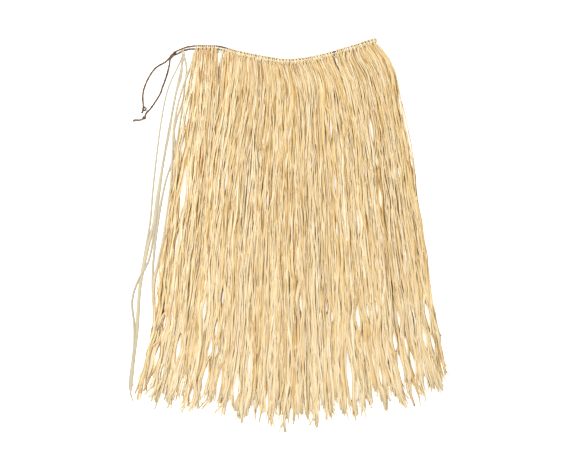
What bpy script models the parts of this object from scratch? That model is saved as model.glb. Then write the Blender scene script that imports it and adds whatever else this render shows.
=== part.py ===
# Grass skirt, laid flat on a surface and folded in half at its right end.
# One twisted cord runs round the whole waist. Every bunch of raffia is hitched over it, so the
# skirt is a row of hitches with loose strands below. The front half lies on the back half.
# The two ends of the cord meet in a knot at the left, and its two tails lie loose beside the grass.
# X runs along the waist, +Y from the hem to the waist, +Z up. The surface is Z = 0.

import math
import random

import bmesh
import bpy
from mathutils import Vector

MM = 0.001

# Outline of the grass as it lies, seen from above: columns are x and y in millimetres.
# A middle strand is 800 mm long from cord to hem, and the hitched waist is 420 mm along each half.
WAIST = ((-209, 418), (-157, 417), (-117, 406), (-49, 392), (0, 387), (58, 395), (120, 412), (184, 432))
HEM = ((-336, -346), (-275, -362), (-198, -373), (-132, -392), (0, -409), (132, -398),
       (198, -376), (264, -361), (308, -346), (350, -312))
LEFT_EDGE = ((-209, 418), (-231, 277), (-250, 150), (-272, 0), (-292, -160), (-313, -262), (-336, -346))
RIGHT_EDGE = ((184, 432), (221, 384), (241, 315), (262, 205), (282, 72), (306, -67), (328, -200), (350, -312))

STRAND_LENGTH = 800 * MM

# At the waist the back half lies a little lower than the front one.
BACK_DROP = 6 * MM

# Cord, and the channel that the hitches leave round it.
CORD_RADIUS = 1.6 * MM
CORD_SIDES = 6
CHANNEL_RADIUS = 1.95 * MM

# A half of the skirt is four strands deep. A strand is a folded leaf: flat below, with a ridge on top.
LEVELS = 4
LEVEL_ORDER = (0, 2, 1, 3)
LEVEL_PITCH = 1.6 * MM
RIDGE = 1.15 * MM
ROOT_LIFT = 0.25 * MM

# Rings of a strand, as shares of its length, and its width at each: for the first two in metres, and for
# the others as a share of its own width.
RINGS = (0.0, 0.08, 0.33, 0.62, 0.80, 0.91, 1.0)
ROOT_WIDTHS = (3.4 * MM, 4.2 * MM)
WIDTH_SHARES = (1.0, 1.0, 1.0, 0.9, 0.35)
STRAND_WIDTH = (4.8 * MM, 7.2 * MM)
STRAY_WIDTH = 3.8 * MM

# How unevenly the strands hang: their lengths as shares, the share of them that hangs lower and by how
# much, the waves of the hem, and how far and how often a strand sways.
LENGTHS = (0.985, 1.010)
LONG_ONES, LONG_REACH = 0.1, 0.012
HEM_WAVES, HEM_WAVE = 95, 0.012
SWAY = (0.6 * MM, 2.3 * MM)
SWAY_TURNS = (0.7, 1.8)

# The share of the length in which the strands spread from the hitches' spacing to the hem's.
FAN_END = 0.4

# Heading, where the hitches lie side by side: a strip from just above the cord to the strands' roots.
HEADING_THICK = 6.6 * MM
HEADING_BELOW = 10 * MM
HEADING_SLOPE = 4.5 * MM
CORD_HEIGHT = 3.3 * MM
FRONT_RISE = 7.3 * MM
ROOT_DEPTH = 5.5 * MM
FOLD_REACH = 5.5 * MM
FOLD_STEPS = 6

# The heading's outside between two hitches and on one, in millimetres: how far it reaches above the
# cord, its height over the cord, and the heights between which its upper side stands.
BETWEEN_HITCHES = (2.7, 5.8, 1.75, 4.85)
ON_HITCH = (3.6, 6.9, 1.35, 5.25)

# Rows of hitches. Columns: name, where the row starts and ends as a share of the waist, where its
# tips start and end as a share of the hem, hitches, strands.
FRONT_ROWS = (
    ("front_grass_left", 0.0, 0.125, 0.0, 0.15, 6, 15),
    ("front_grass_middle", 0.175, 0.765, 0.15, 0.775, 31, 84),
    ("front_grass_right", 0.785, 1.0, 0.775, 1.0, 11, 35),
)
BACK_ROWS = (
    ("back_grass_left", 0.0, 0.24, 0.0, 0.25, 13, 26),
    ("back_grass_middle", 0.26, 0.70, 0.25, 0.71, 23, 46),
    ("back_grass_right", 0.72, 1.0, 0.71, 1.0, 15, 30),
)

# Where the strands of both halves part and the surface shows through: x, y and how far they are pushed
# aside, in millimetres. A push fades over the reach sideways and over the length up and down.
PARTINGS = (
    (-187, -314, 7.5), (-156, -325, 6), (-119, -340, 6), (-175, -251, 6), (-246, -248, 6.5), (130, -304, 7.5),
    (150, -183, 6), (239, -185, 5), (231, -235, 5), (297, -227, 6), (302, -174, 5), (270, -279, 5.5),
    (246, -298, 6), (180, 232, 5.5), (90, 238, 4.5), (-226, 262, 5),
)
PARTING_REACH = 26
PARTING_LENGTH = 55

# Strands lean outwards as if they came from one point, this far above any place on them in millimetres.
LEAN = 1400

# The cord between the rows and its knot, in each half: columns are x, y and z in millimetres.
BARE_FRONT = ((-217, 417.3, 9.8), (-226.5, 415.9, 8.4), (-235.5, 413.0, 7.0), (-242.5, 410.3, 5.7),
              (-250.2, 407.5, 4.4))
BARE_BACK = ((-220, 411.7, 3.3), (-232.3, 408.9, 3.3), (-239.7, 405.5, 3.3), (-249.6, 400.2, 3.0))

# A lone hitch sits on the bare cord of the back half, between these two of its points.
LONE_HITCH = (BARE_BACK[1], BARE_BACK[2])

# Its loose strands: length as a share of the left edge, then how far each lies outside that edge,
# in millimetres, at the second and later rings of a strand. Their roots lie this far apart.
STRAYS = (
    (1.02, (34, 47, 44, 39, 30, 15)),
    (1.00, (22, 31, 41, 37, 28, 16)),
    (0.95, (11, 14, 21, 12, 9, 6)),
    (0.98, (19, 31, 34, 43, 28, 14)),
)
STRAY_SPACING = 1.6 * MM

# Knots are small balls with the cord's turns as slanting ridges: points round and up, turns, how deep
# the hollows between them are, and how far a turn slants from bottom to top, in radians.
KNOT_SEGMENTS = (12, 8)
KNOT_TURNS = 3
KNOT_HOLLOW = 0.13
KNOT_SLANT = 2.2

# The long knot that joins the cord's ends: its centre, half sizes in millimetres, and how it is turned.
KNOT = (-258.5, 398.5)
KNOT_SIZE = (12.1, 4.8, 3.7)
KNOT_TURNED = math.radians(47)

# The knots near the ends of the two tails, and how far from a knot's centre the cord stops.
END_KNOT_SIZE = (4.4, 4.0, 3.2)
END_KNOT_TURNED = math.radians(60)
END_KNOT_SEAT = 4.7

# The tails. Columns: name, the route from the long knot to the tip as x and y in millimetres, and which
# point of the route its end knot is on.
TIES = (
    ("short", ((-267.6, 390.3), (-275.4, 383.0), (-288.2, 375.8), (-298.1, 368.3), (-308.9, 353.5),
               (-317.7, 335.9), (-323.2, 319), (-324.6, 303), (-323.9, 293), (-320.8, 278.7),
               (-326.3, 270.4)), 9),
    ("long", ((-264.4, 388.9), (-266.6, 374), (-270.5, 358), (-276, 341), (-281.4, 327.1), (-285.5, 314.5),
              (-295.3, 298.1), (-307.1, 281), (-316.5, 271), (-321.2, 260.4), (-329.5, 255.7), (-337, 255),
              (-344.8, 254.2)), 9),
)
TAIL_POINT_SPACING = 6.5 * MM
SHARP_FROM = math.radians(70)

RAFFIA = ("raffia", (0.82, 0.61, 0.33), 0.55)
TWINE = ("twisted_cord", (0.16, 0.09, 0.045), 0.85)


def material(name, colour, roughness):
    """A plain finish, made once and shared."""
    made = bpy.data.materials.get(name)
    if made is None:
        made = bpy.data.materials.new(name)
        made.use_nodes = True
        shader = made.node_tree.nodes["Principled BSDF"]
        shader.inputs["Base Color"].default_value = (*colour, 1)
        shader.inputs["Roughness"].default_value = roughness
        shader.inputs["Metallic"].default_value = 0
    return made


def new_object(name, mesh, finish):
    obj = bpy.data.objects.new(name, mesh)
    bpy.context.scene.collection.objects.link(obj)
    obj.data.materials.append(material(*finish))
    return obj


def smooth(obj):
    """Shades a round piece smooth, and keeps the rims of its flat ends sharp."""
    obj.data.shade_smooth()
    obj.data.set_sharp_from_angle(angle=SHARP_FROM)


def object_from(name, bm, finish):
    """A named object from a bmesh whose shells are closed, with its faces turned outwards."""
    bmesh.ops.recalc_face_normals(bm, faces=bm.faces)
    mesh = bpy.data.meshes.new(name)
    bm.to_mesh(mesh)
    bm.free()
    return new_object(name, mesh, finish)


def on_curve(points, share):
    """The point at a share of a smooth curve through the points. Past the end it runs straight on."""
    knots = [Vector(p) for p in points]
    runs = [(b - a).length for a, b in zip(knots, knots[1:])]
    distance = share * sum(runs)
    if share > 1:
        return knots[-1] + (knots[-1] - knots[-2]).normalized() * (distance - sum(runs))
    i = 0
    while i < len(runs) - 1 and distance > runs[i]:
        distance -= runs[i]
        i += 1
    s = distance / runs[i]
    before = knots[i - 1] if i else knots[0] * 2 - knots[1]
    after = knots[i + 2] if i + 2 < len(knots) else knots[-1] * 2 - knots[-2]
    a, b = knots[i], knots[i + 1]
    return 0.5 * (2 * a + (b - before) * s + (2 * before - 5 * a + 4 * b - after) * s * s
                  + (3 * a - before - 3 * b + after) * s ** 3)


def grass_point(u, t):
    """A point of the laid grass in plan: u is the share along the waist, t the share from cord to hem."""
    corners = ((1 - t) * ((1 - u) * Vector(WAIST[0]) + u * Vector(WAIST[-1]))
               + t * ((1 - u) * Vector(HEM[0]) + u * Vector(HEM[-1])))
    edges = (1 - u) * on_curve(LEFT_EDGE, t) + u * on_curve(RIGHT_EDGE, t)
    ends = (1 - t) * on_curve(WAIST, u) + t * on_curve(HEM, u)
    return (edges + ends - corners) * MM


def loft(t):
    """How high the strands ride, from 1 at the heading to a little over half at the tips."""
    return 1 + 0.3 * math.sin(math.pi * min(t, 1)) - 0.45 * min(t, 1) ** 3


def parted(spot):
    """How far the partings near a place in plan push a strand aside, in metres."""
    push = 0.0
    for x, y, width in PARTINGS:
        away = spot.y / MM - y
        aside = spot.x / MM - x + x * away / LEAN
        near = math.exp(-abs(aside) / PARTING_REACH - (away / PARTING_LENGTH) ** 2)
        push += math.copysign(width * near, aside)
    return push * MM


def cord_point(u, back):
    """The cord's centre at a share of the waist, in either half."""
    x, y = on_curve(WAIST, u) * MM
    if back:
        return Vector((x, y - BACK_DROP, CORD_HEIGHT))
    return Vector((x, y, FRONT_RISE + CORD_HEIGHT))


def extruded_rings(bm, rings, close_ends):
    """Walls between rings of equally many points, made by extruding the first ring from one to the next."""
    verts = [bm.verts.new(p) for p in rings[0]]
    edges = [bm.edges.new((a, b)) for a, b in zip(verts, verts[1:] + verts[:1])]
    first = list(edges)
    if close_ends:
        bm.faces.new(verts)
    for ring in rings[1:]:
        made = bmesh.ops.extrude_edge_only(bm, edges=edges)["geom"]
        new_verts = [g for g in made if isinstance(g, bmesh.types.BMVert)]
        old = {v: i for i, v in enumerate(verts)}
        placed = {}
        for v in new_verts:
            below = next(e.other_vert(v) for e in v.link_edges if e.other_vert(v) in old)
            placed[old[below]] = v
        verts = [placed[i] for i in range(len(ring))]
        for v, p in zip(verts, ring):
            v.co = p
        edges = [bm.edges.get((a, b)) for a, b in zip(verts, verts[1:] + verts[:1])]
    if close_ends:
        bm.faces.new(verts)
    return first, edges


def path_frames(points):
    """For each point of a path, a sideways and an upward direction square to it."""
    frames = []
    for i, p in enumerate(points):
        along = (points[min(i + 1, len(points) - 1)] - points[max(i - 1, 0)]).normalized()
        side = Vector((0, 0, 1)).cross(along).normalized()
        frames.append((side, along.cross(side)))
    return frames


def round_rings(points, radius):
    """Rings of a round tube along a path, with a corner at the top."""
    angles = [2 * math.pi * k / CORD_SIDES for k in range(CORD_SIDES)]
    return [[p + (side * math.sin(a) + up * math.cos(a)) * radius for a in angles]
            for p, (side, up) in zip(points, path_frames(points))]


def heading_ring(point, side, rise, outside):
    """A cut through the heading, between two hitches or on one."""
    above, top, low, high = (size * MM for size in outside)
    section = ((-HEADING_BELOW, 0), (-HEADING_BELOW, HEADING_THICK), (-HEADING_SLOPE, HEADING_THICK),
               (0, top), (above, high), (above, low), (0, 0))
    base = Vector((point.x, point.y, rise))
    return [base + side * across + Vector((0, 0, height)) for across, height in section]


def channel_points(first_u, last_u, hitches, back):
    """The cord's centre at every second hitch of a row, which both the cord and its channel pass through."""
    steps = max(1, round(hitches / 2))
    return [cord_point(first_u + (last_u - first_u) * k / steps, back) for k in range(steps + 1)]


def heading(outer_points, channel, rise):
    """A row of hitches with the cord's channel through it, as a bmesh."""
    outsides = (BETWEEN_HITCHES, ON_HITCH)
    outer = [heading_ring(p, side, rise, outsides[k % 2])
             for k, (p, (side, _)) in enumerate(zip(outer_points, path_frames(outer_points)))]
    inner = round_rings(channel, CHANNEL_RADIUS)
    bm = bmesh.new()
    outer_ends = extruded_rings(bm, outer, close_ends=False)
    inner_ends = extruded_rings(bm, inner, close_ends=False)
    for outside, inside in zip(outer_ends, inner_ends):
        bmesh.ops.triangle_fill(bm, edges=outside + inside, use_beauty=True)
    return bm


def add_strand(bm, place, rise, level, width):
    """A strand along its places in plan, in one of the levels: narrow at its root and its tip."""
    widths = (*ROOT_WIDTHS, *(width * share for share in WIDTH_SHARES))
    rings = []
    for i, (p, share) in enumerate(zip(place, RINGS)):
        along = (place[min(i + 1, len(place) - 1)] - place[max(i - 1, 0)]).normalized()
        half = Vector((-along.y, along.x)) * widths[i] / 2
        base = (rise + level * LEVEL_PITCH + (ROOT_LIFT if share == 0 else 0)) * loft(share)
        ridge = base + RIDGE * loft(share)
        rings.append([Vector((*(p - half), base)), Vector((*(p + half), base)), Vector((*p, ridge))])
    extruded_rings(bm, rings, close_ends=True)


def strand_places(root_u, tip_u, back, chance):
    """Where a strand of a half lies in plan, ring by ring. Each sways a little and ends a little unevenly."""
    reach = chance.uniform(*LENGTHS) + HEM_WAVE * math.sin(HEM_WAVES * root_u)
    if chance.random() < LONG_ONES:
        reach += LONG_REACH
    sway, turns, phase = chance.uniform(*SWAY), chance.uniform(*SWAY_TURNS), chance.uniform(0, 2 * math.pi)
    start = ROOT_DEPTH / (STRAND_LENGTH * reach)
    place = []
    for share in RINGS:
        t = (start + (1 - start) * share) * reach
        fan = min(1, t / FAN_END)
        u = root_u + (tip_u - root_u) * fan * fan * (3 - 2 * fan)
        spot = grass_point(u, t)
        grown = min(1, share / RINGS[2])
        spot.x += parted(spot) + sway * grown * math.sin(2 * math.pi * turns * share + phase)
        spot.y -= BACK_DROP * (1 - min(t, 1)) if back else 0
        place.append(spot)
    return place


def joined(name, body, roots, finish):
    """The body with the strands' roots fused into it by a Boolean union."""
    obj = object_from(name, body, finish)
    strands = object_from(name + "_strands", roots, finish)
    strands.hide_render = True
    strands.display_type = "WIRE"
    union = obj.modifiers.new("strands_hitched_on", "BOOLEAN")
    union.operation = "UNION"
    union.solver = "EXACT"
    union.object = strands


def grass_half(rows, back, seed):
    """All rows of one half. Levels follow on from row to row, so that strands of two rows never meet."""
    chance = random.Random(seed)
    rise = 0 if back else FRONT_RISE
    count = 0
    for name, first_u, last_u, first_tip, last_tip, hitches, strands in rows:
        roots = bmesh.new()
        inset = 0.35 * (last_u - first_u) / strands
        for k in range(strands):
            along_row = k / (strands - 1)
            root_u = first_u + inset + (last_u - first_u - 2 * inset) * along_row
            tip_u = first_tip + (last_tip - first_tip) * (k + 0.5) / strands
            place = strand_places(root_u, tip_u, back, chance)
            add_strand(roots, place, rise, LEVEL_ORDER[count % LEVELS], chance.uniform(*STRAND_WIDTH))
            count += 1
        cuts = 2 * hitches
        outer_points = [cord_point(first_u + (last_u - first_u) * k / cuts, back) for k in range(cuts + 1)]
        channel = channel_points(first_u, last_u, hitches, back)
        joined(name, heading(outer_points, channel, rise), roots, RAFFIA)


def stray_grass():
    """The lone hitch on the bare cord beside the knot, with its few strands lying outside the left edge."""
    left, right = (Vector(p) * MM for p in reversed(LONE_HITCH))
    middle = (left + right) / 2
    roots = bmesh.new()
    for k, (reach, offsets) in enumerate(STRAYS):
        root = middle.xy + Vector(((k - (len(STRAYS) - 1) / 2) * STRAY_SPACING, -ROOT_DEPTH))
        place = [root]
        for share, offset in zip(RINGS[1:], offsets):
            edge = grass_point(0, share * reach)
            place.append(Vector((edge.x - offset * MM, edge.y)))
        add_strand(roots, place, 0, LEVEL_ORDER[k], STRAY_WIDTH)
    joined("stray_grass", heading([left, middle, right], [left, right], 0), roots, RAFFIA)


def corner_points():
    """The cord's centre round the fold at the right, from the front half to the back one."""
    front, back = cord_point(1, False), cord_point(1, True)
    middle, reach = (front + back) / 2, (front - back) / 2
    outward = (front - cord_point(0.97, False)).normalized() * FOLD_REACH
    angles = [math.pi * k / FOLD_STEPS for k in range(1, FOLD_STEPS)]
    return [middle + reach * math.cos(a) + outward * math.sin(a) for a in angles]


def cord_run(rows, back):
    """The cord's centre through all rows of a half, with points in the bare stretches between them."""
    points = []
    for k, (_, first_u, last_u, _, _, hitches, _) in enumerate(rows):
        points += channel_points(first_u, last_u, hitches, back)
        if k + 1 < len(rows):
            next_u = rows[k + 1][1]
            points += [cord_point(last_u + (next_u - last_u) * s, back) for s in (0.33, 0.67)]
    return points


def waist_cord():
    """The whole cord that the hitches hold, from the knot through both halves and back to the knot."""
    points = [Vector(p) * MM for p in reversed(BARE_FRONT)] + cord_run(FRONT_ROWS, False)
    points += corner_points()
    points += cord_run(BACK_ROWS, True)[::-1] + [Vector(p) * MM for p in BARE_BACK]
    bm = bmesh.new()
    extruded_rings(bm, round_rings(points, CORD_RADIUS), close_ends=True)
    smooth(object_from("waist_cord", bm, TWINE))


def knot(name, centre, size, turned):
    """A tight knot of the cord, on the surface."""
    bm = bmesh.new()
    bmesh.ops.create_uvsphere(bm, u_segments=KNOT_SEGMENTS[0], v_segments=KNOT_SEGMENTS[1], radius=1)
    for v in bm.verts:
        turn = KNOT_TURNS * math.atan2(v.co.y, v.co.x) + KNOT_SLANT * v.co.z
        hollow = KNOT_HOLLOW * (1 - abs(v.co.z)) * (1 + math.cos(turn)) / 2
        v.co = Vector([c * s for c, s in zip(v.co, size)]) * (1 - hollow) * MM
    obj = object_from(name, bm, TWINE)
    obj.rotation_euler.z = turned
    obj.location = Vector((*centre, size[2])) * MM
    smooth(obj)


def tail(name, route, start, end):
    """A stretch of loose cord on the surface, drawn in at its ends to leave room for a knot."""
    points = [Vector(p) for p in route]
    first, last = (points[1] - points[0]).normalized(), (points[-2] - points[-1]).normalized()
    points[0] += first * start
    points[-1] += last * end
    length = sum((b - a).length for a, b in zip(points, points[1:])) * MM
    steps = max(2, round(length / TAIL_POINT_SPACING))
    curve = bpy.data.curves.new(name, "CURVE")
    curve.dimensions = "3D"
    curve.bevel_depth = CORD_RADIUS
    curve.bevel_resolution = 2
    curve.use_fill_caps = True
    spline = curve.splines.new("POLY")
    spline.points.add(steps)
    for k in range(steps + 1):
        x, y = on_curve(points, k / steps) * MM
        spline.points[k].co = (x, y, CORD_RADIUS, 1)
    new_object(name, curve, TWINE)


def ties():
    """The knot that joins the cord's two ends, the two loose tails, and the knot and short end of each."""
    knot("waist_knot", KNOT, KNOT_SIZE, KNOT_TURNED)
    for name, route, at in TIES:
        tail("tie_" + name, route[:at + 1], 0, END_KNOT_SEAT)
        knot("tie_knot_" + name, route[at], END_KNOT_SIZE, END_KNOT_TURNED)
        tail("tie_end_" + name, route[at:], END_KNOT_SEAT, 0)


def build():
    for obj in list(bpy.data.objects):
        bpy.data.objects.remove(obj)
    grass_half(FRONT_ROWS, back=False, seed=13)
    grass_half(BACK_ROWS, back=True, seed=23)
    stray_grass()
    waist_cord()
    ties()


build()
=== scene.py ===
import math

import bmesh
import bpy
import numpy as np
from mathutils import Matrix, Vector


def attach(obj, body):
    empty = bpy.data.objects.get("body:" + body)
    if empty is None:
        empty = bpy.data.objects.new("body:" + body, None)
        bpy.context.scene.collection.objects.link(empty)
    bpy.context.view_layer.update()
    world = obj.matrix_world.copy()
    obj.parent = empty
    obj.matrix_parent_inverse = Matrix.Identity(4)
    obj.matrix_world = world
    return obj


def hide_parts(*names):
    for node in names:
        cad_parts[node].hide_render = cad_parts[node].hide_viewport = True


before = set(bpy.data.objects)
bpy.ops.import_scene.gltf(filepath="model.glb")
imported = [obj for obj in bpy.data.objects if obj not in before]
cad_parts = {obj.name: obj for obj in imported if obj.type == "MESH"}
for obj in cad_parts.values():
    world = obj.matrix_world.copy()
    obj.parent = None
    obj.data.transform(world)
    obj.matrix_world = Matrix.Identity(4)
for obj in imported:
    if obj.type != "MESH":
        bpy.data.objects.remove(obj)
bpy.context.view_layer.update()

# Waist cord.
# One length of brown plant twine, two plies twisted together, about 4 mm across. It runs from the knot
# through the front half's hitches, folds back at the right end and returns through the back half's.

MM = 0.001
CORD_WIDTH = 4.2 * MM
WAIST = ((-209, 418), (-157, 417), (-117, 406), (-49, 392), (0, 387), (58, 395), (120, 412), (184, 432))

# How much lower the cord runs in the back half, its heights in both, and how far it bulges where it folds.
BACK_DROP = 6 * MM
FRONT_CORD_HEIGHT = 10.6 * MM
BACK_CORD_HEIGHT = 3.3 * MM
FOLD_REACH = 5.5 * MM
CORD_POINTS = 120
FOLD_POINTS = 12

# The cord's bare stretches between the knot and the nearest row of each half, with heights, in millimetres.
BARE_FRONT = ((-255.6, 402.6, 4.0), (-250.4, 407.2, 4.4), (-242.5, 410.3, 5.7), (-235.5, 413.0, 7.0),
              (-226.5, 415.9, 8.4), (-217, 417.3, 9.8))
BARE_BACK = ((-220, 411.7, 3.3), (-232.3, 408.9, 3.3), (-239.7, 405.5, 3.3), (-249.6, 400.4, 3.0),
             (-256.0, 398.2, 3.6))

# Twine: a full turn of its plies, a ply's distance from the middle and radius as shares of the width, and
# the steps between points and between changes in thickness.
PLY_TURN = 7 * MM
PLY_REACH = 0.13
PLY_RADIUS = 0.38
TWINE_STEP = 0.9 * MM
UNEVEN_STEP = 4 * MM


def on_line(points, share):
    """Points of a smooth curve through the given ones, at shares of its length. Past its end it runs on."""
    p = np.array(points, float)
    runs = np.linalg.norm(np.diff(p, axis=0), axis=1)
    reached = np.concatenate([[0], np.cumsum(runs)]) / runs.sum()
    p = np.vstack([2 * p[0] - p[1], p, 2 * p[-1] - p[-2]])
    share = np.asarray(share, float)
    i = np.clip(np.searchsorted(reached, share, side="right") - 1, 0, len(runs) - 1)
    s = np.minimum((share - reached[i]) / (reached[i + 1] - reached[i]), 1)[..., None]
    a, b, c, d = p[i], p[i + 1], p[i + 2], p[i + 3]
    curve = 0.5 * (2 * b + (c - a) * s + (2 * a - 5 * b + 4 * c - d) * s**2 + (3 * b - a - 3 * c + d) * s**3)
    beyond = np.maximum(share - 1, 0)[..., None] * runs.sum()
    return curve + beyond * (p[-2] - p[-3]) / runs[-1]


def cord_at(u, back):
    """The waist cord's centre at shares of the hitched waist, in either half."""
    spot = on_line(WAIST, u) * MM
    height = BACK_CORD_HEIGHT if back else FRONT_CORD_HEIGHT
    spot[..., 1] -= BACK_DROP if back else 0
    return np.concatenate([spot, np.full(spot.shape[:-1] + (1,), height)], axis=-1)


def evenly(line, step):
    """The same line with points an even step apart."""
    reached = np.concatenate([[0], np.cumsum(np.linalg.norm(np.diff(line, axis=0), axis=1))])
    places = np.linspace(0, reached[-1], max(2, round(reached[-1] / step)) + 1)
    return np.stack([np.interp(places, reached, line[:, k]) for k in range(3)], axis=1)


def directions(line):
    """Unit vectors along a line and two square to it, carried along it without a twist."""
    along = np.gradient(line, axis=0)
    along /= np.linalg.norm(along, axis=1)[:, None]
    side = np.zeros_like(line)
    side[0] = np.cross(along[0], (0.05, 0.1, 1))
    for k in range(len(line)):
        before = side[max(k - 1, 0)]
        side[k] = before - along[k] * before.dot(along[k])
        side[k] /= np.linalg.norm(side[k])
    return along, side, np.cross(along, side)


def tubes(name, lines, radii):
    """Round tubes along lines, as one mesh. Each line has one radius, or one for each of its points."""
    curve = bpy.data.curves.new(name, "CURVE")
    curve.dimensions = "3D"
    curve.bevel_depth = 1
    curve.bevel_resolution = 1
    curve.use_fill_caps = True
    for line, radius in zip(lines, radii):
        spline = curve.splines.new("POLY")
        spline.points.add(len(line) - 1)
        spline.points.foreach_set("co", np.column_stack([line, np.ones(len(line))]).ravel())
        spline.points.foreach_set("radius", np.broadcast_to(radius, len(line)).astype(float))
    guide = bpy.data.objects.new(name, curve)
    bpy.context.scene.collection.objects.link(guide)
    mesh = bpy.data.meshes.new_from_object(guide.evaluated_get(bpy.context.evaluated_depsgraph_get()))
    bpy.data.objects.remove(guide)
    bm = bmesh.new()
    bm.from_mesh(mesh)
    bmesh.ops.remove_doubles(bm, verts=bm.verts, dist=0.01 * MM)
    bmesh.ops.recalc_face_normals(bm, faces=bm.faces)
    bm.to_mesh(mesh)
    bm.free()
    mesh.shade_smooth()
    return mesh


def twine(name, line, width, seed):
    """Two plies twisted round a line, uneven in thickness and twist, as a mesh."""
    line = evenly(line, TWINE_STEP)
    along, side, up = directions(line)
    run = np.arange(len(line)) * np.linalg.norm(line[1] - line[0])
    places = np.arange(0, run[-1] + 5 * MM, UNEVEN_STEP)
    wobble = np.interp(run, places, np.random.default_rng(seed).normal(0, 1, len(places)))
    plies, radii = [], []
    for turn in (0, math.pi):
        angle = 2 * math.pi * run / PLY_TURN + turn + 0.25 * wobble
        reach = PLY_REACH * width * (1 + 0.12 * wobble)
        plies.append(line + (side * np.cos(angle)[:, None] + up * np.sin(angle)[:, None]) * reach[:, None])
        radii.append(PLY_RADIUS * width * (1 + 0.04 * np.sin(run / (3.1 * MM) + turn) + 0.04 * wobble))
    return tubes(name, plies, radii)


def linear(code):
    """An sRGB hex colour as linear light, with alpha."""
    parts = [int(code[i:i + 2], 16) / 255 for i in (1, 3, 5)]
    return [c / 12.92 if c <= 0.04045 else ((c + 0.055) / 1.055) ** 2.4 for c in parts] + [1]


def node(tree, kind, links=(), **settings):
    """A new node with its inputs and properties set, and its inputs linked from other nodes' sockets."""
    made = tree.nodes.new(kind)
    for name, value in settings.items():
        if name in made.inputs:
            made.inputs[name].default_value = value
        else:
            setattr(made, name, value)
    for socket, source in links:
        tree.links.new(source, made.inputs[socket])
    return made


def ramp(tree, source, stops):
    """A colour ramp with its stops, each a position and a hex colour."""
    made = node(tree, "ShaderNodeValToRGB", [("Fac", source)])
    for k, (position, code) in enumerate(stops):
        stop = made.color_ramp.elements[k] if k < 2 else made.color_ramp.elements.new(position)
        stop.position = position
        stop.color = linear(code)
    return made.outputs["Color"]


def attribute(tree, name):
    """A look that the mesh carries, from 0 to 1."""
    return node(tree, "ShaderNodeAttribute", attribute_name=name).outputs["Fac"]


def blend(tree, share, first, second, kind="MIX"):
    """Two colours blended. The share is a number or a socket, the second colour a hex one or a socket."""
    made = node(tree, "ShaderNodeMix", [(6, first)], data_type="RGBA", blend_type=kind)
    if isinstance(share, float):
        made.inputs[0].default_value = share
    else:
        tree.links.new(share, made.inputs[0])
    if isinstance(second, str):
        made.inputs[7].default_value = linear(second)
    else:
        tree.links.new(second, made.inputs[7])
    return made.outputs[2]


def twisted_twine():
    """Plant twine, retted and twisted: dull brown, with paler dry fibres on the outside of each ply."""
    material = bpy.data.materials.new("retted plant twine")
    material.use_nodes = True
    tree = material.node_tree
    shader = tree.nodes["Principled BSDF"]
    place = node(tree, "ShaderNodeTexCoord").outputs["Object"]
    blotch = node(tree, "ShaderNodeTexNoise", [("Vector", place)], Scale=1 / (9 * MM), Detail=2.0)
    fibre = node(tree, "ShaderNodeTexNoise", [("Vector", place)], Scale=1 / (1.1 * MM), Detail=3.0)
    brown = ramp(tree, blotch.outputs["Fac"], ((0.3, "#533d28"), (0.7, "#937656"), (0.5, "#72573b")))
    dulled = blend(tree, attribute(tree, "dry"), brown, "#8a7a67")
    pale = ramp(tree, fibre.outputs["Fac"], ((0.38, "#6d5340"), (0.66, "#ffffff")))
    tree.links.new(blend(tree, 0.65, dulled, pale, "MULTIPLY"), shader.inputs["Base Color"])
    bump = node(tree, "ShaderNodeBump", [("Height", fibre.outputs["Fac"])], Strength=0.6, Distance=0.3 * MM)
    tree.links.new(bump.outputs["Normal"], shader.inputs["Normal"])
    shader.inputs["Roughness"].default_value = 0.8
    return material


TWINE = twisted_twine()


def dress(name, mesh, material, stands_for=()):
    """A finished piece: its mesh and material on the skirt, in place of the plain solids it stands for."""
    obj = bpy.data.objects.new(name, mesh)
    bpy.context.scene.collection.objects.link(obj)
    mesh.materials.clear()
    mesh.materials.append(material)
    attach(obj, "root")
    if stands_for:
        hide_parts(*stands_for)
    return obj


front_run = cord_at(np.linspace(0, 1, CORD_POINTS), back=False)
back_run = cord_at(np.linspace(1, 0, CORD_POINTS), back=True)
fold_middle, fold_half = (front_run[-1] + back_run[0]) / 2, (front_run[-1] - back_run[0]) / 2
heading = front_run[-1] - front_run[-4]
fold_out = heading / np.linalg.norm(heading) * FOLD_REACH
fold_angles = np.linspace(0, math.pi, FOLD_POINTS)[1:-1, None]
fold = fold_middle + fold_half * np.cos(fold_angles) + fold_out * np.sin(fold_angles)
whole_cord = np.vstack([np.array(BARE_FRONT) * MM, front_run, fold, back_run, np.array(BARE_BACK) * MM])
waist_twine = twine("waist_twine", whole_cord, CORD_WIDTH, seed=3)
dress("twisted_waist_cord", waist_twine, TWINE, ["waist_cord"])

# Waist knot.
# The cord's two ends are tied together at the left of the waist, in one long overhand knot of the same
# twine. It is pulled tight, about 24 mm long and 7 mm wide, and a small loop of it stands out beside it.

KNOT = (-258.6 * MM, 398.4 * MM)
KNOT_SPAN = 24 * MM
KNOT_ASPECT = 0.27
KNOT_TWINE = 3.3 * MM
KNOT_TURNED = math.radians(47)
KNOT_LOOP = (-255.4 * MM, 405.0 * MM)
KNOT_LOOP_SPAN = 5.4 * MM
KNOT_LOOP_ASPECT = 0.9
KNOT_LOOP_TWINE = 1.9 * MM

# Points along a knot's twine, and the angle that is open between its ends.
KNOT_POINTS = 90
KNOT_OPEN = 0.24


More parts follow.
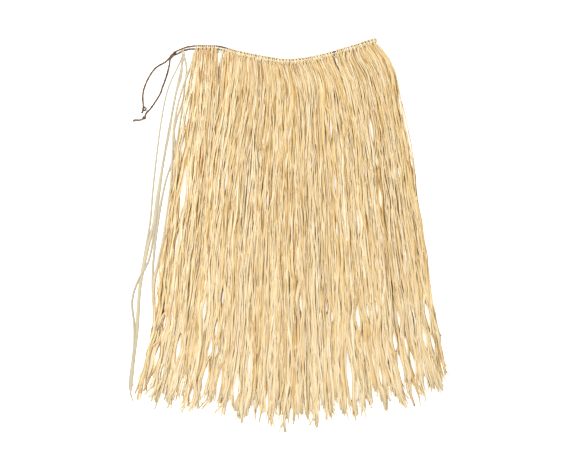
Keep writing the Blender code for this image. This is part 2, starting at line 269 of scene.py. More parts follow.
def overhand(name, centre, span, aspect, hole, width, turned, seed):
    """A tight overhand knot: the twine goes round twice and over and under itself, round a hole or none."""
    t = np.linspace(KNOT_OPEN / 2, 2 * math.pi - KNOT_OPEN / 2, KNOT_POINTS)
    near, far = (hole + width) / 2, (span - width) / 2
    out = (near + far) / 2 + (far - near) / 2 * np.cos(3 * t)
    flat = np.column_stack([out * np.cos(2 * t), aspect * out * np.sin(2 * t)])
    turn = np.array([[math.cos(turned), math.sin(turned)], [-math.sin(turned), math.cos(turned)]])
    height = width * (1.05 + 0.45 * np.sin(3 * t))
    return twine(name, np.column_stack([flat @ turn + centre, height]), width, seed)


def joined(*meshes):
    """The first mesh with the others added to it."""
    bm = bmesh.new()
    for mesh in meshes:
        bm.from_mesh(mesh)
    bm.to_mesh(meshes[0])
    bm.free()
    return meshes[0]


tight_knot = overhand("waist_knot_twine", KNOT, KNOT_SPAN, KNOT_ASPECT, 0, KNOT_TWINE, KNOT_TURNED, seed=5)
knot_loop = overhand("waist_knot_loop", KNOT_LOOP, KNOT_LOOP_SPAN, KNOT_LOOP_ASPECT, 0, KNOT_LOOP_TWINE,
                     KNOT_TURNED, seed=6)
dress("tied_waist_knot", joined(tight_knot, knot_loop), TWINE, ["waist_knot"])

# Loose tails of the cord.
# Both ends of the cord run on past the knot and lie free beside the grass, 147 and 175 mm long. Each
# has a small overhand knot near its end. Past the long one's, the twine is dry and untwisted into fibres.

TAIL_WIDTH = 4.5 * MM
TAIL_HEIGHT = 0.58 * TAIL_WIDTH
SHORT_TAIL = ((-264.6, 393.2), (-267.6, 390.3), (-275.4, 383.0), (-288.2, 375.8), (-298.1, 368.3),
              (-308.9, 353.5), (-317.7, 335.9), (-323.2, 319), (-324.6, 303), (-323.9, 293),
              (-323.4, 280.2), (-326.6, 270.6))
LONG_TAIL = ((-262.6, 393.6), (-264.4, 388.9), (-266.6, 374), (-270.5, 358), (-276, 341), (-281.4, 327.1),
             (-285.5, 314.5), (-295.3, 298.1), (-307.1, 281), (-316.5, 271), (-321.2, 260.4), (-329.5, 255.7),
             (-337.4, 255.2), (-343.4, 255.0), (-344.6, 251.8))

# End knots. Columns: across, width by length, hole, twine and how far right of the tail's middle. All but
# the second are in millimetres. Both knots are at the same point of their tails' lines.
SHORT_END_KNOT = (12.0, 0.88, 3.6, 3.2, 2.6)
LONG_END_KNOT = (10.0, 0.72, 0.6, 2.8, 0)
KNOT_POINT = 10

FIBRES = 16
FIBRE_RADIUS = 0.62 * MM


def frayed(name, line, seed):
    """The dry fibres of an untwisted end, spreading a little towards its tip, as a mesh."""
    chance = np.random.default_rng(seed)
    along, side, up = directions(line)
    spread = np.linspace(0.7, 1, len(line))[:, None]
    fibres = []
    for angle in np.linspace(0, 2 * math.pi, FIBRES, endpoint=False) + chance.uniform(-0.2, 0.2, FIBRES):
        out = chance.uniform(1.5, 2.5) * MM
        reach = round(len(line) * chance.uniform(0.88, 1))
        fibre = line + (side * math.cos(angle) + up * 0.6 * math.sin(angle)) * out * spread
        fibre[:, 2] = np.maximum(fibre[:, 2], 0.5 * MM)
        fibres.append(fibre[:reach])
    return tubes(name, fibres, [FIBRE_RADIUS] * len(fibres))


def loose_tail(name, route, end_knot, turned, fray, seed):
    """A tail on the surface with its knot."""
    flat = on_line(route, np.linspace(0, 1, 160)) * MM
    line = evenly(np.column_stack([flat, np.full(len(flat), TAIL_HEIGHT)]), 1.5 * MM)
    knot_place = np.array(route[KNOT_POINT])
    mesh = twine("tail_twine_" + name, line, TAIL_WIDTH, seed)
    bm = bmesh.new()
    bm.from_mesh(mesh)
    dry = bm.verts.layers.float.new("dry")
    if fray:
        first = np.argmin(np.linalg.norm(line[:, :2] - knot_place * MM, axis=1))
        past_knot = line[first, 0]
        bm.from_mesh(frayed("tail_fibres_" + name, line[first + 1:], seed))
        for vertex in bm.verts:
            vertex[dry] = np.clip((past_knot - vertex.co.x) / (4 * MM), 0, 1)
    bm.to_mesh(mesh)
    bm.free()
    obj = dress("loose_tail_" + name, mesh, TWINE, ["tie_" + name, "tie_end_" + name])
    span, aspect, hole, width, aside = end_knot
    centre = (knot_place + (aside, 0)) * MM
    knot_twine = overhand("tail_knot_twine_" + name, centre, span * MM, aspect, hole * MM, width * MM,
                          turned, seed)
    knot = dress("tail_knot_" + name, knot_twine, TWINE, ["tie_knot_" + name])


loose_tail("short", SHORT_TAIL, SHORT_END_KNOT, turned=1.2, fray=False, seed=7)
loose_tail("long", LONG_TAIL, LONG_END_KNOT, turned=2.7, fray=True, seed=8)

# Grass of the back half.
# Strips of dried raffia leaf, mostly 2 to 6 mm wide and about 800 mm long, creased or half rolled along their
# length. They lie flat on the surface under the front half, in the locks that they were hung in.

HEM = ((-336, -346), (-305, -364), (-270, -370), (-214, -378), (-184, -362), (-132, -388), (-62, -402),
       (-20, -414), (34, -416), (98, -390), (140, -396), (198, -376), (264, -361), (308, -350), (350, -326))
LEFT_EDGE = ((-209, 418), (-231, 277), (-250, 150), (-272, 0), (-292, -160), (-313, -262), (-336, -346))
RIGHT_EDGE = ((184, 432), (220, 384), (237, 315), (257, 205), (277, 72), (299, -67), (319, -200), (350, -326))

# Strips: from cord to hem, points along one, and where they start below the cord, as a share of the way.
STRAND = 0.8
FRONT_POINTS = 60
BACK_POINTS = 36
STRIP_START = 3.2 * MM / STRAND

# Heights that the halves start at, the pile of each, and what is pressed flat just over the surface.
BACK_RISE = 0.5 * MM
FRONT_RISE = 7.3 * MM
PILE = 6.2 * MM
FLOOR_GAP = 0.1 * MM
PRESSED = 0.5 * MM

# Shares of the strips that end above the hem, that are long tips, that lean, that turn over, are dark, have
# a dried tip or a tan stretch. Then how far down a bunch holds together, and strips fan out.
SHORT_SHARE, LONG_SHARE, LEANING_SHARE, TURNED_SHARE = 0.5, 0.1, 0.16, 0.15
DARK_SHARE, DRIED_SHARE, TAN_SHARE = 0.06, 0.6, 0.25
BUNCHED, FANNED = 0.022, 0.4

# Half of a bunch as a share of its hitch's stretch of the cord, how far the tips stray along the hem, and the
# waves of a strip from side to side, with their lengths in metres.
BUNCH_HALF = 0.19
TIP_SCATTER = 0.008
WAVE_LENGTHS = (0.75, 0.33, 0.16, 0.085, 0.05)
WAVE_SIZES = (3.6 * MM, 3.0 * MM, 1.5 * MM, 0.65 * MM, 0.25 * MM)

# Slits that the surface shows through. Columns: x, y, length and width in millimetres. They lean as if all
# met far above their middles, and strips within their reach make room for them.
SLITS = (
    (-276, -190, 36, 5), (-291, -259, 50, 7), (-246, -248, 74, 8), (-282, -301, 36, 5), (-308, -322, 30, 6),
    (-188, -165, 74, 6), (-162, -204, 48, 5), (-175, -251, 48, 8), (-161, -252, 36, 5), (-187, -314, 76, 9),
    (-156, -325, 72, 8), (-119, -340, 84, 7), (-89, -281, 66, 5), (-148, -136, 34, 4), (24, -152, 58, 5),
    (82, -158, 32, 4), (93, -178, 32, 4), (150, -183, 56, 7), (172, -169, 42, 5), (191, -161, 40, 4),
    (239, -185, 42, 5), (231, -235, 52, 6), (130, -304, 124, 10), (256, -241, 52, 5), (270, -279, 50, 6),
    (246, -298, 74, 7), (302, -174, 66, 6), (297, -227, 60, 7), (314, -234, 34, 4), (200, -310, 44, 4),
    (180, 232, 74, 6), (90, 238, 68, 4), (191, 165, 30, 4), (-226, 262, 80, 6), (-234, 196, 70, 5),
    (-236, 88, 140, 10), (-250, -20, 90, 5), (-216, -350, 50, 7), (300, -330, 50, 7), (170, -372, 44, 6),
    (-70, -386, 40, 6), (46, -400, 34, 6), (100, 402, 50, 4), (274, -352, 60, 10),
    (-153, 408, 60, 4), (-141, 119, 50, 4), (-66, 170, 34, 3), (-50, 79, 40, 3), (99, 119, 56, 4),
    (162, 144, 36, 3), (198, 86, 42, 4), (150, 31, 60, 4), (102, 18, 44, 3), (46, 165, 42, 3),
    (200, -7, 40, 3), (239, 139, 30, 3),
)
SLIT_MEETING = 1.4
SLIT_REACH = 60 * MM

# Rows of locks that the strips gather into, and how far a lock's middle reaches past its sides. Columns:
# locks across, strength, start, 1 if both halves share it.
LOCKS = ((22, 0.75, 0.6, 1), (37, 0.6, 2.1, 0), (61, 0.75, 4.0, 1))
LOCK_POINT = 0.022

# How far the strips beside the right edge hang back from its outward bend, as a share of the width, with
# the middle and half size of that stretch and how far down it is.
HANG_BACK = 0.035
HANG_MIDDLE, HANG_HALF, HANG_DOWN = 0.85, 0.11, 0.055

# Locks that are paler or more tan than the rest. Columns: share along the waist and down, and half sizes.
PALE_LOCKS = ((0.155, 0.05, 0.009, 0.07), (0.012, 0.16, 0.01, 0.12), (0.06, 0.12, 0.005, 0.05))
TAN_LOCKS = (
    (0.052, 0.08, 0.006, 0.05), (0.04, 0.012, 0.015, 0.012), (0.075, 0.02, 0.008, 0.02),
    (0.2, 0.02, 0.006, 0.02), (0.3, 0.05, 0.004, 0.02), (0.365, 0.06, 0.005, 0.02),
    (0.33, 0.055, 0.003, 0.03), (0.1, 0.33, 0.005, 0.05), (0.66, 0.1, 0.003, 0.03),
)

# Sections of a leaf strip, across and up, in halves of its width and in its height.
CREASED = ((-1, 0), (-0.35, 0.9), (0.2, 1), (1, 0.05), (0.1, -0.25))


def laid(u, t):
    """Where the grass lies in plan: u is the share along the waist, t the share from cord to hem."""
    ends = (1 - t)[..., None] * on_line(WAIST, u) + t[..., None] * on_line(HEM, u)
    edges = (1 - u)[..., None] * on_line(LEFT_EDGE, t) + u[..., None] * on_line(RIGHT_EDGE, t)
    waist_chord = (1 - u)[..., None] * np.array(WAIST[0]) + u[..., None] * np.array(WAIST[-1])
    hem_chord = (1 - u)[..., None] * np.array(HEM[0]) + u[..., None] * np.array(HEM[-1])
    return (ends + edges - (1 - t)[..., None] * waist_chord - t[..., None] * hem_chord) * MM


def loft(t):
    """How high the strips ride, from 1 at the waist to a little over half at the tips."""
    t = np.minimum(t, 1)
    return 1 + 0.3 * np.sin(math.pi * t) - 0.45 * t**3


def open_slits(place, margin):
    """Moves strips aside where the grass parts. Each keeps to the side that it has at the slit's middle."""
    for x, y, length, width in SLITS:
        away = place[..., 1] - y * MM
        across = place[..., 0] - x * MM + x * MM / SLIT_MEETING * away
        middle = np.argmin(np.abs(away), axis=1)[:, None]
        side = np.where(np.take_along_axis(across, middle, axis=1) < 0, -1, 1)
        depth = side * across
        inside = np.clip(1 - np.abs(away) / (0.5 * length * MM), -0.3, 1)
        edge = 0.5 * width * MM * np.maximum(inside, 0) ** 0.8 + margin
        pushed = 0.5 * (depth + np.sqrt(depth**2 + 4 * edge**2))
        window = np.clip((inside + 0.3) / 0.3, 0, 1) * (np.abs(across) < SLIT_REACH)
        place[..., 0] += side * window * (pushed - depth)


def ribbons(name, lines, widths, heights, ups, **looks):
    """Leaf strips along lines, joined in one mesh from arrays, with a map along each strip and with looks,
    which are attributes from 0 to 1. What would reach under the surface is pressed flat on it."""
    count, points = lines.shape[:2]
    along = np.gradient(lines, axis=1)
    along /= np.linalg.norm(along, axis=2)[..., None]
    side = np.cross(along, ups)
    side /= np.linalg.norm(side, axis=2)[..., None]
    up = np.cross(side, along)
    profile = np.array(CREASED)
    corners = len(profile)
    spots = (lines[:, :, None] + side[:, :, None] * (profile[:, 0, None] * widths[:, :, None, None] / 2)
             + up[:, :, None] * (profile[:, 1, None] * heights[:, :, None, None]))
    low = np.minimum(spots[..., 2], FLOOR_GAP + PRESSED)
    spots[..., 2] += FLOOR_GAP + PRESSED * np.exp((low - FLOOR_GAP - PRESSED) / PRESSED) - low
    first = np.arange(count)[:, None, None] * points * corners + np.arange(points - 1)[:, None] * corners
    this, after = np.arange(corners), (np.arange(corners) + 1) % corners
    walls = np.stack([first + this, first + after, first + corners + after, first + corners + this], axis=-1)
    tip = np.arange(count) * points * corners
    caps = [list(k + this[::-1]) for k in tip] + [list(k + (points - 1) * corners + this) for k in tip]
    mesh = bpy.data.meshes.new(name)
    mesh.from_pydata(spots.reshape(-1, 3).tolist(), [], walls.reshape(-1, 4).tolist() + caps)
    reached = np.cumsum(np.linalg.norm(np.diff(lines, axis=1), axis=2), axis=1)
    run = np.concatenate([np.zeros((count, 1)), reached], axis=1)
    offset = np.random.default_rng(count).uniform(0, 20, (count, 1))
    across = np.broadcast_to(profile[:, 0] * 0.5, (count, points, corners)) * widths[..., None]
    down = np.broadcast_to((run + offset)[..., None], across.shape)
    maps = np.stack([across + offset[..., None] * 0.1, down], axis=-1)
    chosen = np.empty(len(mesh.loops), np.int64)
    mesh.loops.foreach_get("vertex_index", chosen)
    layer = mesh.uv_layers.new(name="strip")
    layer.data.foreach_set("uv", maps.reshape(-1, 2)[chosen].ravel())
    looks = {label: np.broadcast_to(values, (count, points))[..., None] for label, values in looks.items()}
    # The edge look is 1 at the sides of a strip's section and 0 in its middle; the material paints shade
    # along the sides with it.
    for label, values in (looks | {"edge": profile[:, 0] ** 2}).items():
        layer = mesh.attributes.new(label, "FLOAT", "POINT")
        layer.data.foreach_set("value", np.broadcast_to(values, across.shape).ravel())
    mesh.shade_smooth()
    mesh.set_sharp_from_angle(angle=math.radians(32))
    return mesh


def waves(chance, count, t, lengths, sizes):
    """Slow waves along each strip, in metres: one for each wave length, given with its size."""
    total = np.zeros_like(t)
    for length, size in zip(lengths, sizes):
        own_length = length * chance.uniform(0.8, 1.25, (count, 1))
        start = chance.uniform(0, 2 * math.pi, (count, 1))
        angle = 2 * math.pi * t * STRAND / own_length + start
        total += size * chance.normal(0, 1, (count, 1)) * np.sin(angle)
    return total


def lock_phase(u, t, rows, turn):
    """A strip's place in its row of locks, as an angle. Locks differ in width and drift on their way down."""
    uneven = 1.2 * np.sin(27 * u + turn) + 0.8 * np.sin(61 * u + 2.3 * turn)
    return 2 * math.pi * rows * u + uneven + turn + 2.2 * np.sin(2.5 * t + turn)


def strip_reaches(chance, tips):
    """How far down each strip goes, as a share of the way to the hem, and which strips are long tips."""
    count = len(tips)
    short = chance.random(count) < SHORT_SHARE
    long = chance.random(count) < LONG_SHARE
    reach = np.where(short, chance.uniform(0.74, 0.98, count), 0.985 + chance.normal(0, 0.012, count))
    reach += np.where(long, chance.uniform(0.012, 0.028, count), 0)
    peaks = np.cos(lock_phase(tips, 1, LOCKS[0][0], LOCKS[0][2]))
    reach += 0.008 * np.sin(95 * tips) - LOCK_POINT * peaks
    return np.minimum(reach, 1.022), long


def strip_widths(chance, t, reach, long):
    """Widths along each strip: wider towards the hem, and drawn in at the hitch and at its tip."""
    count = len(t)
    width = np.clip(chance.lognormal(math.log(2.7), 0.3, (count, 1)), 1.6, 5.5) * MM
    uneven = 1 + 0.18 * waves(chance, count, t, (0.11,), (0.8,))
    widths = width * (0.92 + 0.75 * np.clip(t, 0, 1) ** 2.5) * uneven
    point = np.where(long[:, None], 0.05, chance.uniform(0.02, 0.09, (count, 1)))
    blunt = np.where(chance.random((count, 1)) < 0.25, 0.8, 0.4)
    blunt = np.where(long[:, None], 0.5, blunt)
    widths *= blunt + (1 - blunt) * np.clip((reach[:, None] - t) / point, 0, 1) ** 0.8
    widths *= 0.62 + 0.38 * np.clip(t / 0.05, 0, 1)
    return widths


def strip_looks(chance, u, t, reach):
    """Looks along each strip: its tone, tan stretch and bleaching, and its grey tip where it has dried."""
    count = len(t)
    tone = chance.normal(0.52, 0.17, (count, 1))
    tone = tone + 0.06 * waves(chance, count, t, (0.3, 0.09, 0.04), (1, 1, 1)) + 0.06 * t
    tone = np.where(chance.random((count, 1)) < DARK_SHARE, 0.4 * tone, tone)
    dry = np.clip((t - reach[:, None] + 0.03) / 0.03, 0, 1) * (chance.random((count, 1)) < DRIED_SHARE)
    tone = np.clip(tone - 0.15 * dry, 0, 1)
    bleached = np.clip(chance.normal(0, 0.14, (count, 1)), 0, 1) + 0.12 * np.clip(t, 0, 1) ** 3
    for u_pale, t_pale, u_size, t_size in PALE_LOCKS:
        bleached += 0.75 * np.exp(-((u - u_pale) / u_size) ** 2 - ((t - t_pale) / t_size) ** 2)
    middle = chance.uniform(0, 1, (count, 1))
    tan = np.exp(-((t - middle) / chance.uniform(0.03, 0.12, (count, 1))) ** 2)
    tan = tan * (chance.random((count, 1)) < TAN_SHARE) * chance.uniform(0.2, 0.6, (count, 1))
    for u_tan, t_tan, u_size, t_size in TAN_LOCKS:
        tan = np.maximum(tan, np.exp(-((u - u_tan) / u_size) ** 4 - ((t - t_tan) / t_size) ** 2))
    return {"tone": tone, "tan": tan, "bleached": np.clip(bleached, 0, 1), "grey": 0.6 * dry}


def leaf_strips(name, roots, bunches, tips, back, seed):
    """A row of leaf strips from their places at the waist to their tips, as a mesh."""
    chance = np.random.default_rng(seed)
    count = len(roots)
    order = chance.permutation(count) / count
    reach, long = strip_reaches(chance, tips)
    shares = np.linspace(0, 1, BACK_POINTS if back else FRONT_POINTS) ** 0.96
    t = STRIP_START + (reach[:, None] - STRIP_START) * shares
    fan = np.clip(t / FANNED, 0, 1)
    u = roots[:, None] + (tips - roots)[:, None] * fan**2 * (3 - 2 * fan)
    u += (bunches - roots)[:, None] * np.clip(1 - t / BUNCHED, 0, 1)
    bend = HANG_BACK * np.exp(-((u - HANG_MIDDLE) / HANG_HALF) ** 2) * np.minimum((1 - u) / 0.1, 1)
    u -= bend * t / HANG_DOWN * np.exp(1 - t / HANG_DOWN)
    for rows, strength, turn, shared in LOCKS:
        pull = strength * (0.2 + 0.55 * np.clip(t, 0, 1) ** 3)
        u += pull / (2 * math.pi * rows) * np.sin(lock_phase(u, t, rows, turn) + (1 - shared) * seed)
    place = laid(u, t)
    grown = np.clip((t - STRIP_START) / 0.1, 0, 1)
    place[..., 0] += grown * waves(chance, count, t, WAVE_LENGTHS, WAVE_SIZES)
    lean = chance.normal(24 * (tips - 0.5), 9, count) * MM * (long | (chance.random(count) < LEANING_SHARE))
    place[..., 0] += lean[:, None] * np.clip((t - reach[:, None] + 0.05) / 0.05, 0, 1) ** 1.5
    if back:
        place[..., 1] -= BACK_DROP * (1 - np.clip(t, 0, 1))
    widths = strip_widths(chance, t, reach, long)
    open_slits(place, 0.5 * widths)
    level = order[:, None] + grown * waves(chance, count, t, (0.4, 0.15, 0.07), (0.28, 0.2, 0.12))
    lift = (BACK_RISE if back else FRONT_RISE) + PILE * np.abs((level + 1) % 2 - 1)
    height = np.maximum(lift * loft(t), 0.45 * MM)
    lines = np.concatenate([place, height[..., None]], axis=-1)
    heights = np.clip(widths * chance.uniform(0.2, 0.42, (count, 1)), 0.25 * MM, 1.3 * MM)
    tilt = chance.normal(0, 16, (count, 1))
    roll = np.radians(tilt + 20 * waves(chance, count, t, (0.3, 0.11, 0.045), (1, 1, 1)))
    turned = chance.random((count, 1)) < TURNED_SHARE
    roll += math.pi * turned * np.clip((t - chance.uniform(0.1, 0.8, (count, 1))) / 0.06, 0, 1)
    ups = np.stack([np.sin(roll), np.zeros_like(roll), np.cos(roll)], axis=-1)
    return ribbons(name, lines, widths, heights, ups, **strip_looks(chance, u, t, reach))


def dried_raffia():
    """Raffia, the dried skin of a palm leaf: straw-coloured and satiny, with fine fibres along its length.
    Strips differ in tone, a few have tan stretches where the leaf was older, and some are bleached.
    Their sides are darkened towards golden brown as painted shade between neighbouring strips."""
    material = bpy.data.materials.new("dried raffia leaf")
    material.use_nodes = True
    tree = material.node_tree
    shader = tree.nodes["Principled BSDF"]
    strip = node(tree, "ShaderNodeUVMap", uv_map="strip").outputs["UV"]
    base = ramp(tree, attribute(tree, "tone"), ((0.0, "#ab823f"), (1.0, "#f1e8d3"), (0.2, "#d4b36f"),
                                                (0.45, "#e3cf9f"), (0.7, "#eadbb8")))
    fibres = node(tree, "ShaderNodeMapping", [("Vector", strip)], Scale=(1 / (0.45 * MM), 1 / (28 * MM), 1))
    streak = node(tree, "ShaderNodeTexNoise", [("Vector", fibres.outputs["Vector"])], Scale=1.0, Detail=2.0)
    pale = ramp(tree, streak.outputs["Fac"], ((0.3, "#e2c898"), (0.62, "#ffffff")))
    cream = ramp(tree, streak.outputs["Fac"], ((0.3, "#dccfae"), (0.62, "#f7eed6")))
    # Painted shade: each strip's sides are darkened towards golden brown, where it curls and meets its
    # neighbours.
    edge_shade_share = node(tree, "ShaderNodeMath", [(0, attribute(tree, "edge"))], operation="MULTIPLY")
    edge_shade_share.inputs[1].default_value = 0.65
    edge_shaded = blend(tree, edge_shade_share.outputs[0], base, "#d9ba7b", "MULTIPLY")
    stained = blend(tree, attribute(tree, "tan"), edge_shaded, "#e8bd80", "MULTIPLY")
    streaked = blend(tree, 0.55, stained, pale, "MULTIPLY")
    faded = blend(tree, attribute(tree, "bleached"), streaked, cream)
    greyed = blend(tree, attribute(tree, "grey"), faded, "#a39d8b")
    tree.links.new(greyed, shader.inputs["Base Color"])
    bump = node(tree, "ShaderNodeBump", [("Height", streak.outputs["Fac"])], Strength=0.5, Distance=0.12 * MM)
    tree.links.new(bump.outputs["Normal"], shader.inputs["Normal"])
    shader.inputs["Roughness"].default_value = 0.52
    shader.inputs["IOR"].default_value = 1.45
    return material


RAFFIA = dried_raffia()


def grass_row(name, solid, first, last, first_tip, last_tip, number, strips, back, seed):
    """A row of grass: its strips come out of its hitches in bunches and spread towards the hem."""
    chance = np.random.default_rng(seed)
    roots = (np.arange(strips) + chance.uniform(0, 1, strips)) / strips
    bunches = (np.floor(roots * number) + 0.5 + chance.uniform(-BUNCH_HALF, BUNCH_HALF, strips)) / number
    strayed = chance.normal(0, TIP_SCATTER, strips) / (last_tip - first_tip)
    spread = (np.arange(strips) + 0.5) / strips + strayed
    tips = np.clip(first_tip + (last_tip - first_tip) * spread, 0.003, 0.997)
    along = last - first
    mesh = leaf_strips(name + "_leaf", first + along * roots, first + along * bunches, tips, back, seed)
    dress(name, mesh, RAFFIA, [solid] if solid else ())


# Rows of the back half. Columns: row, start and end at the waist, start and end at the hem, hitches, strips.
BACK_ROWS = (
    ("left", 0.0, 0.25, 0.0, 0.25, 13, 110),
    ("middle", 0.25, 0.71, 0.25, 0.71, 23, 210),
    ("right", 0.71, 1.0, 0.71, 1.0, 15, 130),
)
for k, (row, *sizes) in enumerate(BACK_ROWS):
    grass_row("back_raffia_" + row, "back_grass_" + row, *sizes, back=True, seed=40 + k)

# Grass of the front half.
# The same raffia strips, in three rows with bare cord between them. They lie loosely on the back half,
# a little over each other, and draw together into pointed locks at the hem.

FRONT_ROWS = (
    ("left", 0.0, 0.125, 0.0, 0.16, 6, 110),
    ("middle", 0.175, 0.765, 0.135, 0.785, 31, 275),
    ("right", 0.785, 1.0, 0.765, 1.0, 11, 195),
)
for k, (row, *sizes) in enumerate(FRONT_ROWS):
    grass_row("front_raffia_" + row, "front_grass_" + row, *sizes, back=False, seed=20 + k)
grass_row("front_raffia_middle_upper", None, *FRONT_ROWS[1][1:], back=False, seed=30)

# Hitches.
# Each bunch of raffia is folded in half and looped over the cord as a cow hitch: two wraps go over and
# round the cord, and the bight lies across them on the front, with the strips coming out below it.

# Lines of a wrap, out from the cord and up, and of a bight, along the cord and up, in millimetres.
WRAP = ((-8.0, 1.2), (-5.2, 2.6), (-2.2, 3.0), (0.6, 2.9), (2.8, 2.1), (3.7, 0.2), (2.9, -1.7), (0.6, -2.6),
        (-2.6, -2.4), (-5.5, -1.8), (-8.0, -1.0))
BIGHT = ((-3.1, -2.2), (-2.5, 0.4), (-1.2, 1.3), (0, 1.5), (1.2, 1.3), (2.5, 0.4), (3.1, -2.2))
BIGHT_RISE = 2.2
HITCH_POINTS = 18

# One more hitch sits where the cord folds. From the left row to the middle one, between these x in metres,
# the wraps stand further apart, in millimetres, and the leaf gets wider.
CORNER = 1.006
LEFT_TO_MIDDLE = (-0.16, -0.1)
WRAPS_APART = (1.2, 1.75)
LEAF_WIDTH = (1.9 * MM, 2.6 * MM)


def hitch_spots(rows, back, chance):
    """Where the hitches of a half sit on the cord: the cord's centre and its direction at each."""
    spots = []
    for _, first, last, _, _, number, _ in rows:
        spread = np.arange(number) + 0.5 + chance.uniform(-0.07, 0.07, number)
        places = first + (last - first) * spread / number
        for u in [*places, CORNER] if last == 1 and not back else places:
            middle = cord_at(np.array(u), back)
            spots.append((middle, cord_at(np.array(u + 0.004), back) - middle))
    return spots


def hitches(name, spots, chance):
    """Hitches at places on the cord, as one mesh: two wraps and a bight for each."""
    wraps, bights = [], []
    for middle, along in spots:
        along = along / np.linalg.norm(along)
        down = np.array([along[1], -along[0], 0])
        apart = np.interp(middle[0], LEFT_TO_MIDDLE, WRAPS_APART) * chance.uniform(0.85, 1.15)
        for offset in (-apart, apart):
            slack = chance.uniform(0.9, 1.15)
            spread = np.linspace(0.5, 0, len(WRAP)) * offset
            cuts = [middle + along * (offset + s) * MM - down * n * slack * MM + np.array([0, 0, z * MM])
                    for (n, z), s in zip(WRAP, spread)]
            wraps.append(on_line(cuts, np.linspace(0, 1, HITCH_POINTS)))
        low = chance.uniform(3.6, 4.8) * MM
        cuts = [middle + along * s * MM + down * (low + 0.25 * s * chance.uniform(-1, 1) * MM)
                + np.array([0, 0, (BIGHT_RISE + z) * MM]) for s, z in BIGHT]
        bights.append(on_line(cuts, np.linspace(0, 1, HITCH_POINTS)))
    lines = np.array(wraps + bights)
    ups = lines - lines.mean(axis=1, keepdims=True)
    ups[len(wraps):] = (0, 0, 1)
    own_width = np.interp(lines[:, :1, 0], LEFT_TO_MIDDLE, LEAF_WIDTH)
    widths = own_width * chance.uniform(0.85, 1.15, (len(lines), 1)) * np.ones(lines.shape[:2])
    heights = np.full(lines.shape[:2], 0.75 * MM)
    tone = np.clip(chance.normal(0.58, 0.16, (len(lines), 1)), 0, 1)
    bleached = np.clip(chance.normal(0.3, 0.2, (len(lines), 1)), 0, 1)
    return ribbons(name, lines, widths, heights, ups, tone=tone, bleached=bleached)


for side, rows, back, seed in (("front", FRONT_ROWS, False, 61), ("back", BACK_ROWS, True, 62)):
    chance = np.random.default_rng(seed)
    leaf = hitches(side + "_hitch_leaf", hitch_spots(rows, back, chance), chance)
    dress(side + "_hitches", leaf, RAFFIA)

# Lone hitch and stray strips.
# One small bunch is hitched on the bare cord beside the knot. Its few narrow strips lie apart from the
# rest along the left edge, and part and meet again on the way down.

STRAY_ROUTES = (
    ((-235, 402), (-244, 379), (-266, 333), (-279, 282), (-290, 210), (-302, 104), (-308, 33), (-319, -33),
     (-332, -114), (-339, -208), (-350, -294), (-354, -334), (-345, -368)),
    ((-233, 402), (-258, 282), (-266, 229), (-277, 176), (-295, 71), (-300, 29), (-315, -32), (-331, -116),
     (-337, -206), (-347, -290), (-350, -330), (-352, -352)),
    ((-235, 402), (-228, 372), (-231, 340), (-236, 300), (-248, 262), (-256, 228), (-253, 188), (-273, 124),
     (-286, 62), (-299, -32), (-303, -107), (-300, -195), (-316, -270), (-330, -318), (-342, -348)),
    ((-237, 402), (-239, 352), (-250, 318), (-262, 262), (-276, 186), (-288, 92), (-300, 2), (-313, -60),
     (-330, -88), (-348, -140), (-343, -205), (-346, -300), (-350, -340)),
    ((-211, 404), (-220, 370), (-234, 335), (-244, 301), (-251, 272), (-257, 228), (-262, 120), (-276, 10),
     (-290, -60), (-300, -110), (-299, -200)),
    ((-207, 404), (-212, 358), (-224, 325), (-234, 291), (-241, 259), (-250, 190), (-258, 90), (-270, -20),
     (-282, -120), (-296, -220), (-312, -300)),
)

# Widths in millimetres and looks of the stray strips, in the same order.
STRAY_WIDTHS = (4.4, 5.8, 4.6, 4.0, 5.2, 5.0)
STRAY_TONES = (0.3, 0.3, 0.25, 0.3, 0.3, 0.3)
STRAY_BLEACHED = (0.7, 0.5, 0.5, 0.6, 0.5, 0.5)
STRAY_GREY = (0.75, 0.55, 0.7, 0.75, 0.45, 0.45)

# The lone hitch's place and the cord's direction there.
LONE_HITCH = ((-236.0 * MM, 407.2 * MM, 3.3 * MM), (7.4, 3.4, 0))


def stray_strips():
    """The lone hitch's strips, each along its own route, lying on the surface beside the grass."""
    chance = np.random.default_rng(71)
    share = np.linspace(0, 1, 40)
    flat = np.array([on_line(route, share) for route in STRAY_ROUTES]) * MM
    height = (0.7 + 0.6 * np.arange(len(flat))[:, None] + 3.5 * np.exp(-share * 16)) * MM
    lines = np.concatenate([flat, height[..., None]], axis=-1)
    widths = np.array(STRAY_WIDTHS)[:, None] * MM * (0.85 + 0.8 * share) * (1 - 0.6 * share**12)
    ups = np.zeros_like(lines) + np.array([0.1, 0, 1])
    tan = 0.15 * np.exp(-((share - chance.uniform(0.4, 1, (len(flat), 1))) / 0.15) ** 2)
    looks = {"tone": STRAY_TONES, "bleached": STRAY_BLEACHED, "grey": STRAY_GREY}
    looks = {label: np.array(values)[:, None] for label, values in looks.items()}
    return ribbons("stray_leaf", lines, widths, 0.3 * widths, ups, tan=tan, **looks)


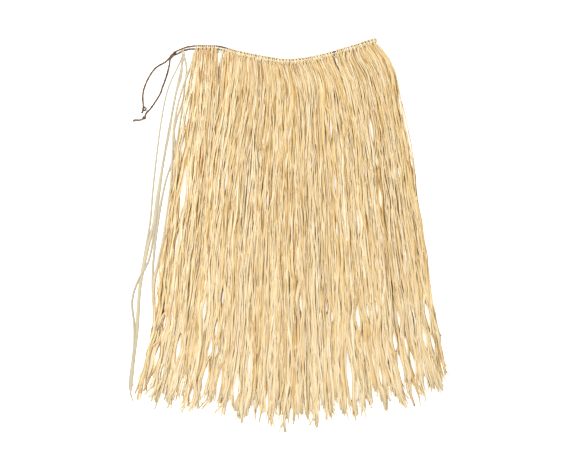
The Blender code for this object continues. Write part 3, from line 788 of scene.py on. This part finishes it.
dress("stray_raffia", stray_strips(), RAFFIA, ["stray_grass"])
lone_spot = [np.array(part) for part in LONE_HITCH]
dress("lone_hitch", hitches("lone_hitch_leaf", [lone_spot], np.random.default_rng(63)), RAFFIA)

# Surface, light and camera.
# The skirt lies on a plain white surface under a broad soft light, with a weaker one across from it. It is
# seen from straight above.

VIEW_CENTRE = Vector((-0.0198, 0.0132, 0.008))
VIEW_WIDTH = 1.2364
LENS = 100
SENSOR = 36
FLOOR_HALF = 6

# Lights. Columns: name, place and size in metres, power in watts.
LIGHTS = (("key", (-1.5, 0.7, 2.6), 1.0, 95), ("fill", (1.6, -0.9, 2.4), 1.5, 30))

bm = bmesh.new()
bmesh.ops.create_grid(bm, x_segments=1, y_segments=1, size=FLOOR_HALF)
floor_mesh = bpy.data.meshes.new("floor")
bm.to_mesh(floor_mesh)
bm.free()
floor = bpy.data.objects.new("floor", floor_mesh)
bpy.context.scene.collection.objects.link(floor)
paper = bpy.data.materials.new("white paper")
paper.use_nodes = True
surface = paper.node_tree.nodes["Principled BSDF"].inputs
surface["Base Color"].default_value = linear("#ffffff")
surface["Roughness"].default_value = 0.9
surface["Emission Color"].default_value = linear("#ffffff")
surface["Emission Strength"].default_value = 0.72
floor_mesh.materials.append(paper)

world = bpy.data.worlds.new("room")
world.use_nodes = True
sky = world.node_tree.nodes["Background"].inputs
sky["Color"].default_value = linear("#ffffff")
sky["Strength"].default_value = 0.35
bpy.context.scene.world = world

for name, place, size, power in LIGHTS:
    lamp = bpy.data.lights.new(name, "AREA")
    lamp.shape = "DISK"
    lamp.size = size
    lamp.energy = power
    holder = bpy.data.objects.new(name, lamp)
    holder.location = place
    holder.rotation_euler = (VIEW_CENTRE - Vector(place)).to_track_quat("-Z", "Y").to_euler()
    bpy.context.scene.collection.objects.link(holder)

view = bpy.data.cameras.new("camera")
view.lens = LENS
view.sensor_width = SENSOR
camera = bpy.data.objects.new("camera", view)
camera.location = VIEW_CENTRE + Vector((0, 0, VIEW_WIDTH * LENS / SENSOR))
bpy.context.scene.collection.objects.link(camera)
bpy.context.scene.camera = camera
bpy.context.scene.view_settings.view_transform = "Standard"
